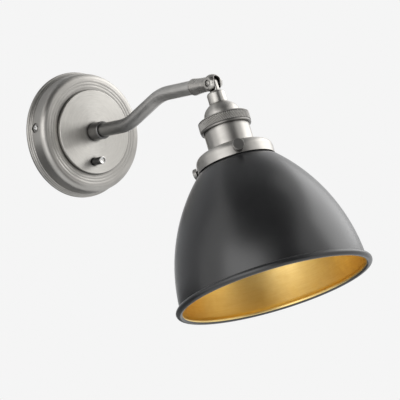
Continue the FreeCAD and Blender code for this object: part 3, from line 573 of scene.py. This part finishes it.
# colour of the recesses, partly patina and partly painted shade
RECESS_TARNISH_AND_SHADE = (0.05, 0.048, 0.045, 1)
TARNISH_AND_SHADE_REACH, TARNISH_AND_SHADE_STRENGTH = 0.003, 0.85
EDGE_WIDTH, EDGE_GAIN = 0.0004, 1.25
HIGHLIGHT_STRETCH, QUARTER_TURN = 0.6, 0.25


def pewter(name, origin, axis, light, dark=WARM_DARK, rough=0.34, marks=0.25, depth=3e-6,
           lines=5000.0, cloud=0.35, wear=0.5, foot=None):
    """Aged, brushed pewter turned about an axis.

    Its tone runs from light to dark. A foot is a third tone and the two levels in metres
    between which it gives way to them.
    """
    material, tree, shader = new_finish(name)
    place = lathe_inputs(tree, origin, axis)
    brushed = use_group(tree, brush_marks, Lines=lines, **place)
    shader.inputs["Anisotropic"].default_value = HIGHLIGHT_STRETCH
    shader.inputs["Anisotropic Rotation"].default_value = QUARTER_TURN
    tree.links.new(vector_calc(tree, "CROSS_PRODUCT", tuple(axis), place["Around"]),
                   shader.inputs["Tangent"])
    aged = use_group(tree, patina, Cloud_Scale=45.0, Speck_Scale=1500.0)
    edges = use_group(tree, worn_edges, Width=EDGE_WIDTH)
    clouded = calc(tree, "MULTIPLY", aged.outputs["Clouds"], cloud)
    streaked = calc(tree, "MULTIPLY", brushed.outputs["Marks"], marks)
    darkness = calc(tree, "ADD", clouded, streaked, clamp=True)
    color = blend_colors(tree, darkness, light, dark)
    if foot:
        tone, near, far = foot
        color = blend_colors(tree, remap(tree, place["Level"], near, far), tone, color)
    bright = tuple(min(1.0, c * EDGE_GAIN) for c in light[:3]) + (1.0,)
    color = blend_colors(tree, calc(tree, "MULTIPLY", edges.outputs["Edge"], wear), color, bright)
    # recesses darkened: partly patina, partly painted shade
    tarnish_and_shade_amount = use_group(tree, tarnish_and_shade, Reach=TARNISH_AND_SHADE_REACH).outputs["Recess"]
    tarnish_and_shade_amount = calc(tree, "MULTIPLY", tarnish_and_shade_amount, TARNISH_AND_SHADE_STRENGTH)
    tree.links.new(blend_colors(tree, tarnish_and_shade_amount, color, RECESS_TARNISH_AND_SHADE), shader.inputs["Base Color"])
    shader.inputs["Metallic"].default_value = 1.0
    varied = calc(tree, "MULTIPLY_ADD", brushed.outputs["Bands"], 0.08, rough - 0.04)
    varied = calc(tree, "MULTIPLY_ADD", aged.outputs["Specks"], 0.04, varied)
    tree.links.new(varied, shader.inputs["Roughness"])
    tree.links.new(bump(tree, brushed.outputs["Marks"], depth, edges.outputs["Normal"]),
                   shader.inputs["Normal"])
    return material


print("pewter recipe ready")

# %% [markdown]
# ## Eight tones of pewter
# The pieces of the lamp don't leave the darkening bath alike. The disc was brushed hardest and
# shows the widest lines. The hub, the thumb screws and the button are small, are brushed least
# and stay darkest. The tube's colour simply runs from dark at its foot beside the plate to
# lighter towards its end.
# Lines run around the plate's axis, the knuckle's, the head's or the button's. The tube starts
# on the plate's axis and bends away from it, so only its foot gets true rings, and the thumb
# screws borrow the head's axis. Their lines are faint, so this shows only from close by.

# %% Pewter finishes
OUT = Vector((0, -1, 0))
wall_origin = Vector((0, 0, 0))
knuckle_origin = Vector((0, 0, PIVOT.z))
button_origin = Vector((0, 0, -BUTTON_DROP * MM))
# colour of the tube, darker towards its foot beside the plate
dark_foot = ((0.25, 0.245, 0.237, 1), 0.07, 0.15)

plate_pewter = pewter("plate_pewter", wall_origin, OUT, light=(0.52, 0.504, 0.473, 1),
                      rough=0.36, marks=0.38, depth=6e-6, lines=1300.0)
disc_pewter = pewter("disc_pewter", wall_origin, OUT, light=(0.66, 0.64, 0.60, 1),
                     dark=(0.42, 0.405, 0.375, 1), rough=0.36, marks=0.48, depth=1.4e-5,
                     lines=1100.0, cloud=0.2)
arm_pewter = pewter("arm_pewter", wall_origin, OUT, light=(0.66, 0.643, 0.614, 1),
                    dark=(0.42, 0.41, 0.392, 1), rough=0.36, marks=0.2, lines=2500.0,
                    foot=dark_foot)
knuckle_pewter = pewter("knuckle_pewter", knuckle_origin, OUT, light=(0.56, 0.54, 0.505, 1),
                        rough=0.28)
head_pewter = pewter("head_pewter", PIVOT, head_axis, light=(0.55, 0.532, 0.50, 1), rough=0.38,
                     depth=5e-6, lines=4000.0, cloud=0.3)
thumb_pewter = pewter("thumb_pewter", PIVOT, head_axis, light=(0.30, 0.291, 0.276, 1),
                      dark=(0.20, 0.194, 0.184, 1), marks=0.15, wear=0.9)
hub_pewter = pewter("hub_pewter", wall_origin, OUT, light=(0.20, 0.195, 0.19, 1),
                    dark=(0.12, 0.118, 0.115, 1), marks=0.2, wear=1.0)
button_metal = pewter("button_metal", button_origin, OUT, light=(0.10, 0.10, 0.10, 1),
                      dark=(0.05, 0.05, 0.05, 1), rough=0.22, marks=0.15, depth=2e-6, cloud=0.1)
print("eight pewter finishes made")

# %% [markdown]
# ## The knurl's own pewter
# On a knurl the darkening stays in the grooves and the crests are rubbed bright, and on top of
# that the grooves carry painted shade and the crests a painted highlight. The distance from the
# turning axis tells the two apart, so this finish mixes its tone by the radius. The lip below the
# knurl is painted as dark as the small pieces, as a painted shadow line under the ring, and the
# level along the axis picks it out.

# %% Knurl finish
# grooves darker, crests lighter: partly patina and wear, partly painted shade and highlight
GROOVE_PATINA_AND_SHADE, CREST_WEAR_AND_HIGHLIGHT = (0.10, 0.097, 0.09, 1), (0.74, 0.717, 0.677, 1)
# the lip's tone is a painted shadow; the soiled tone is clouds of dirt
LIP_PAINTED_SHADOW, SOILED_TONE = (0.24, 0.232, 0.218, 1), (0.2, 0.19, 0.18, 1)

knurl_pewter, tree, shader = new_finish("knurl_pewter")
place = lathe_inputs(tree, PIVOT, head_axis)
aged = use_group(tree, patina, Cloud_Scale=60.0, Speck_Scale=1500.0)
edges = use_group(tree, worn_edges, Width=0.0003)
crest_wear_and_highlight = remap(tree, place["Radius"], (RING - GROOVE) * MM, RING * MM)
knurl_color = blend_colors(tree, crest_wear_and_highlight, GROOVE_PATINA_AND_SHADE, CREST_WEAR_AND_HIGHLIGHT)
# band of painted shadow on the lip below the knurl
lip_shadow_band = remap(tree, place["Level"], (knurl_bottom - 0.1) * MM, (knurl_bottom + 0.2) * MM)
ring_color = blend_colors(tree, lip_shadow_band, knurl_color, LIP_PAINTED_SHADOW)
soiled = calc(tree, "MULTIPLY", aged.outputs["Clouds"], 0.35)
tree.links.new(blend_colors(tree, soiled, ring_color, SOILED_TONE),
               shader.inputs["Base Color"])
shader.inputs["Metallic"].default_value = 1.0
tree.links.new(calc(tree, "MULTIPLY_ADD", aged.outputs["Specks"], 0.1, 0.3),
               shader.inputs["Roughness"])
tree.links.new(bump(tree, aged.outputs["Specks"], 4e-6, edges.outputs["Normal"]),
               shader.inputs["Normal"])
print("knurl finish made")

# %% [markdown]
# ## Satin black and a gold lining
# The outside is satin lacquer: nearly black, with a very fine grain that spreads the highlight.
# Its index of refraction is set high, as for a dense lacquer that mirrors well, and a little
# sheen stands for the dust-fine matting agent, which shows at grazing angles. The inside is lined
# with a gold finish brushed on by hand, so it shows soft streaks around the shade and warm clouds
# of lighter and deeper gold.

# %% Satin black
satin_black, tree, shader = new_finish("satin_black")
grain = use_group(tree, patina, Cloud_Scale=25.0, Speck_Scale=2200.0)
edges = use_group(tree, worn_edges, Width=0.0004)
tint = blend_colors(tree, grain.outputs["Clouds"], (0.003, 0.003, 0.0035, 1),
                    (0.005, 0.005, 0.0055, 1))
tree.links.new(blend_colors(tree, calc(tree, "MULTIPLY", edges.outputs["Edge"], 0.25), tint,
                            (0.06, 0.06, 0.062, 1)), shader.inputs["Base Color"])
tree.links.new(calc(tree, "MULTIPLY_ADD", grain.outputs["Clouds"], 0.04, 0.29),
               shader.inputs["Roughness"])
tree.links.new(bump(tree, grain.outputs["Specks"], 6e-6), shader.inputs["Normal"])
shader.inputs["IOR"].default_value = 1.7
shader.inputs["Sheen Weight"].default_value = 0.12
shader.inputs["Sheen Roughness"].default_value = 0.4
print("satin black made")

# %% Gold lining, and both on the shade
gold_lining, tree, shader = new_finish("gold_lining")
place = lathe_inputs(tree, PIVOT, head_axis)
strokes = use_group(tree, brush_marks, Lines=700.0, Length=7.0, **place)
gilding = use_group(tree, patina, Cloud_Scale=70.0, Speck_Scale=1200.0)
worn = calc(tree, "MULTIPLY_ADD", strokes.outputs["Marks"], 0.45,
            calc(tree, "MULTIPLY", gilding.outputs["Clouds"], 0.4), clamp=True)
tree.links.new(blend_colors(tree, worn, (1.0, 0.79, 0.36, 1), (0.84, 0.60, 0.22, 1)),
               shader.inputs["Base Color"])
shader.inputs["Metallic"].default_value = 1.0
tree.links.new(calc(tree, "MULTIPLY_ADD", gilding.outputs["Clouds"], 0.12, 0.28),
               shader.inputs["Roughness"])
tree.links.new(bump(tree, strokes.outputs["Marks"], 2e-5), shader.inputs["Normal"])

spun_shade.data.materials.append(satin_black)
spun_shade.data.materials.append(gold_lining)
for polygon, is_lined in zip(spun_shade.data.polygons, lined):
    polygon.material_index = int(is_lined)
print("shade finishes made")

# %% [markdown]
# ## Small metals
# The side screws and the pivot's nut are bright plated steel, the bracket and the washers are
# zinc-plated with its faint crystal pattern, and the nipple, the other nuts, the screws of the
# terminals and the shell are brass with a little tarnish. One recipe serves them, with two tones
# that a noise mixes, and the worn edge on top.

# %% Small metal recipe
def small_metal(name, light, dark, rough, spangle=0.0):
    """Plated or solid metal in two tones, with specks in its roughness."""
    material, tree, shader = new_finish(name)
    aged = use_group(tree, patina, Cloud_Scale=120.0, Speck_Scale=2500.0)
    edges = use_group(tree, worn_edges, Width=0.0002)
    tone = aged.outputs["Clouds"]
    if spangle:
        cells = tree.nodes.new("ShaderNodeTexVoronoi")
        cells.inputs["Scale"].default_value = 380.0
        here = tree.nodes.new("ShaderNodeTexCoord").outputs["Object"]
        tree.links.new(here, cells.inputs["Vector"])
        split = tree.nodes.new("ShaderNodeSeparateColor")
        tree.links.new(cells.outputs["Color"], split.inputs["Color"])
        tone = calc(tree, "MULTIPLY_ADD", split.outputs["Red"], spangle,
                    calc(tree, "MULTIPLY", tone, 1 - spangle))
    color = blend_colors(tree, tone, light, dark)
    bright = tuple(min(1.0, c * 1.2) for c in light[:3]) + (1.0,)
    worn = calc(tree, "MULTIPLY", edges.outputs["Edge"], 0.4)
    tree.links.new(blend_colors(tree, worn, color, bright), shader.inputs["Base Color"])
    shader.inputs["Metallic"].default_value = 1.0
    tree.links.new(calc(tree, "MULTIPLY_ADD", tone, 0.12, rough), shader.inputs["Roughness"])
    tree.links.new(bump(tree, aged.outputs["Specks"], 2e-6, edges.outputs["Normal"]),
                   shader.inputs["Normal"])
    return material


bright_screw = small_metal("bright_screw", (0.78, 0.77, 0.75, 1), (0.60, 0.59, 0.57, 1), 0.10)
zinc_steel = small_metal("zinc_steel", (0.66, 0.69, 0.72, 1), (0.46, 0.49, 0.53, 1), 0.30,
                         spangle=0.6)
old_brass = small_metal("old_brass", (0.78, 0.56, 0.26, 1), (0.52, 0.35, 0.15, 1), 0.22)
print("small metals made")

# %% [markdown]
# ## Plastics, ceramic and flex
# Mouldings have a fine spark-eroded grain, glazed ceramic is smooth with tiny pits under a clear
# gloss, and flex sleeve is soft and slightly mottled. These are not metal, so their colour is
# plain and most of the work is in roughness and bump.

# %% Non-metals
def moulded(name, light, dark, rough, grain_depth, coat=0.0, speck_scale=1800.0):
    """Non-metal in two close tones with a moulded grain."""
    material, tree, shader = new_finish(name)
    grain = use_group(tree, patina, Cloud_Scale=80.0, Speck_Scale=speck_scale)
    edges = use_group(tree, worn_edges, Width=0.0003)
    color = blend_colors(tree, grain.outputs["Clouds"], light, dark)
    tree.links.new(color, shader.inputs["Base Color"])
    tree.links.new(calc(tree, "MULTIPLY_ADD", grain.outputs["Specks"], 0.1, rough),
                   shader.inputs["Roughness"])
    shader.inputs["Coat Weight"].default_value = coat
    shader.inputs["Coat Roughness"].default_value = 0.08
    tree.links.new(bump(tree, grain.outputs["Specks"], grain_depth, edges.outputs["Normal"]),
                   shader.inputs["Normal"])
    return material


white_moulding = moulded("white_moulding", (0.80, 0.79, 0.76, 1), (0.74, 0.73, 0.70, 1), 0.38,
                         8e-6)
black_moulding = moulded("black_moulding", (0.022, 0.022, 0.023, 1), (0.03, 0.03, 0.031, 1),
                         0.36, 8e-6)
glazed_ceramic = moulded("glazed_ceramic", (0.84, 0.82, 0.77, 1), (0.78, 0.755, 0.70, 1), 0.26,
                         3e-6, coat=0.8, speck_scale=700.0)
flex_sleeve = moulded("flex_sleeve", (0.70, 0.69, 0.66, 1), (0.60, 0.59, 0.56, 1), 0.50, 1e-5)
print("non-metals made")

# %% [markdown]
# ## Dress the pieces
# Each CAD piece keeps its own mesh and gets the finish of its place on the lamp. The push button
# gets two finishes, and each strip of its outline takes the blackened or the polished one.

# %% Finishes on the CAD pieces
finishes = {
    plate_pewter: ["plate_cover"],
    disc_pewter: ["face_disc"],
    arm_pewter: ["arm_tube"],
    hub_pewter: ["arm_hub"],
    knuckle_pewter: ["knuckle_fork", "swivel_tongue", "pivot_screw"],
    head_pewter: ["cap_dome", "socket_barrel", "gallery_collar"],
    thumb_pewter: ["thumb_screw_1", "thumb_screw_2", "thumb_screw_3"],
    bright_screw: ["side_screws", "pivot_nut"],
    zinc_steel: ["mounting_bracket", "nipple_washer", "friction_washers"],
    old_brass: ["threaded_nipple", "nipple_nut", "end_bush", "terminal_screws", "earth_screw",
                "switch_nut", "spigot_nut", "cap_nut", "centre_contact"],
    white_moulding: ["terminal_block"],
    black_moulding: ["switch_body"],
    glazed_ceramic: ["lampholder_body"],
    flex_sleeve: ["arm_flex", "switch_leads", "head_flex"],
}
dressed = 0
for finish, names in finishes.items():
    for name in names:
        materials = frame["nodes"][name].data.materials
        materials.clear()
        materials.append(finish)
        dressed += 1
knurled_grip.data.materials.append(knurl_pewter)
screw_shell.data.materials.append(old_brass)
push_button.data.materials.append(button_metal)
push_button.data.materials.append(bright_screw)
for k, polygon in enumerate(push_button.data.polygons):
    polygon.material_index = int(k % len(button_outline) >= polished_end)
print("dressed", dressed, "CAD pieces and 4 new ones")

# %% [markdown]
# ## Studio
# Metal looks like what it reflects. The lamp is lit as such products are: a large soft light at
# the right and above, another at the left, and a weaker one low at the left, which looks up into
# the shade. All face one point in the middle of the lamp. The world shows a pale background to
# the camera, to glossy and to transmitted rays, and gives everything else a plain soft light.

# %% World
def seen_directly(tree):
    """1 for camera, glossy and transmitted rays, 0 for all others."""
    paths = tree.nodes.new("ShaderNodeLightPath")
    seen = calc(tree, "MAXIMUM", paths.outputs["Is Camera Ray"], paths.outputs["Is Glossy Ray"])
    return calc(tree, "MAXIMUM", seen, paths.outputs["Is Transmission Ray"])


world = bpy.data.worlds.new("studio")
world.use_nodes = True
bpy.context.scene.world = world
tree = world.node_tree
tree.nodes.clear()
room = tree.nodes.new("ShaderNodeBackground")
room.inputs["Color"].default_value = (0.95, 0.97, 1.0, 1)
room.inputs["Strength"].default_value = 0.85
pale = tree.nodes.new("ShaderNodeBackground")
pale.inputs["Color"].default_value = (0.913, 0.913, 0.913, 1)
pale.inputs["Strength"].default_value = 1.0
either = tree.nodes.new("ShaderNodeMixShader")
tree.links.new(seen_directly(tree), either.inputs[0])
tree.links.new(room.outputs[0], either.inputs[1])
tree.links.new(pale.outputs[0], either.inputs[2])
sky = tree.nodes.new("ShaderNodeOutputWorld")
tree.links.new(either.outputs[0], sky.inputs["Surface"])
print("world made")

# %% Lights
CENTRE = Vector((0.01, -0.13, -0.04))


def direction(azimuth, elevation):
    """Unit vector from the lamp, by degrees from straight out of the wall and up."""
    a, e = radians(azimuth), radians(elevation)
    return Vector((sin(a) * cos(e), -cos(a) * cos(e), sin(e)))


def soft_light(name, azimuth, elevation, distance, width, height, power):
    """Rectangular soft light aimed at the lamp."""
    data = bpy.data.lights.new(name, "AREA")
    data.shape = "RECTANGLE"
    data.size, data.size_y = width, height
    data.energy = power
    light = bpy.data.objects.new(name, data)
    towards = direction(azimuth, elevation)
    light.location = CENTRE + towards * distance
    light.rotation_euler = towards.to_track_quat("Z", "Y").to_euler()
    light.visible_camera = False
    bpy.context.scene.collection.objects.link(light)


soft_light("right_side", azimuth=74, elevation=34, distance=1.5, width=1.7, height=1.0, power=9.5)
soft_light("left_side", azimuth=-71, elevation=8, distance=1.5, width=1.2, height=0.9, power=4.4)
soft_light("low_left", azimuth=-52, elevation=-22, distance=1.4, width=0.9, height=0.6, power=2.0)
print("three soft lights")

# %% [markdown]
# ## Cards
# A round piece of metal under large lights would be bright all over, and would lose its form.
# Photographers put cards of black and grey board where the metal reflects them. Two dark cards in
# front and above give the round pieces their dark middle, grey cards above and behind give them
# grey edges, and a dark one low behind holds back the undersides. Only reflections see the cards.

# %% Cards
def paper(name, tone):
    """Matt card stock, faintly mottled around one tone."""
    material, tree, shader = new_finish(name)
    fibre = noise(tree, tree.nodes.new("ShaderNodeTexCoord").outputs["Object"], 300.0)
    low, high = (tone * 0.9,) * 3 + (1,), (tone * 1.1,) * 3 + (1,)
    tree.links.new(blend_colors(tree, fibre, low, high), shader.inputs["Base Color"])
    shader.inputs["Roughness"].default_value = 0.9
    return material


def card(name, azimuth, elevation, distance, width, height, material):
    """Flat card facing the lamp, seen only in reflections."""
    towards = direction(azimuth, elevation)
    turn_to = towards.to_track_quat("Z", "Y").to_matrix().to_4x4()
    place = Matrix.Translation(CENTRE + towards * distance) @ turn_to
    corners = [(-width / 2, -height / 2), (width / 2, -height / 2), (width / 2, height / 2),
               (-width / 2, height / 2)]
    mesh = bpy.data.meshes.new(name)
    mesh.from_pydata([place @ Vector((x, y, 0)) for x, y in corners], [], [(0, 1, 2, 3)])
    mesh.materials.append(material)
    piece = bpy.data.objects.new(name, mesh)
    bpy.context.scene.collection.objects.link(piece)
    piece.visible_camera = False
    piece.visible_diffuse = False
    piece.visible_shadow = False
    piece.visible_transmission = False


black_card, grey_card = paper("black_card", 0.13), paper("grey_card", 0.42)
card("camera_card", azimuth=-15, elevation=2, distance=1.6, width=1.25, height=1.5,
     material=black_card)
card("upper_card", azimuth=-44, elevation=56, distance=1.7, width=2.1, height=1.7,
     material=black_card)
card("top_card", azimuth=-150, elevation=80, distance=1.8, width=2.0, height=1.6,
     material=grey_card)
card("back_card", azimuth=-165, elevation=22, distance=1.9, width=2.6, height=2.2,
     material=paper("light_grey_card", 0.56))
card("low_card", azimuth=-172, elevation=-38, distance=0.72, width=1.5, height=0.8,
     material=paper("dark_grey_card", 0.10))
print("five cards")

# %% [markdown]
# ## Floor
# The floor is plain and pale, and keeps the lamp's soft shadow. It glows a little where the
# camera or a reflection sees it, so that it looks as pale as the background there, and it adds no
# light elsewhere. It lies well below the lamp, so that a view from a little below still looks
# over it.

# %% Floor
pale_floor, tree, shader = new_finish("pale_floor")
fibre = noise(tree, tree.nodes.new("ShaderNodeTexCoord").outputs["Object"], 40.0)
tree.links.new(blend_colors(tree, fibre, (0.62, 0.62, 0.615, 1), (0.60, 0.60, 0.595, 1)),
               shader.inputs["Base Color"])
shader.inputs["Roughness"].default_value = 0.7
shader.inputs["Emission Color"].default_value = (0.27, 0.27, 0.27, 1)
tree.links.new(seen_directly(tree), shader.inputs["Emission Strength"])

FLOOR, REACH = -1.4, 9.0
mesh = bpy.data.meshes.new("floor")
mesh.from_pydata([(-REACH, -REACH, FLOOR), (REACH, -REACH, FLOOR), (REACH, REACH, FLOOR),
                  (-REACH, REACH, FLOOR)], [], [(0, 1, 2, 3)])
mesh.materials.append(pale_floor)
floor = bpy.data.objects.new("floor", mesh)
bpy.context.scene.collection.objects.link(floor)
print("floor laid")

# %% [markdown]
# ## Close the scene
# The picture is shown without a film curve, so a colour renders about as it is written.

# %% Finish
bpy.context.scene.view_settings.view_transform = "Standard"
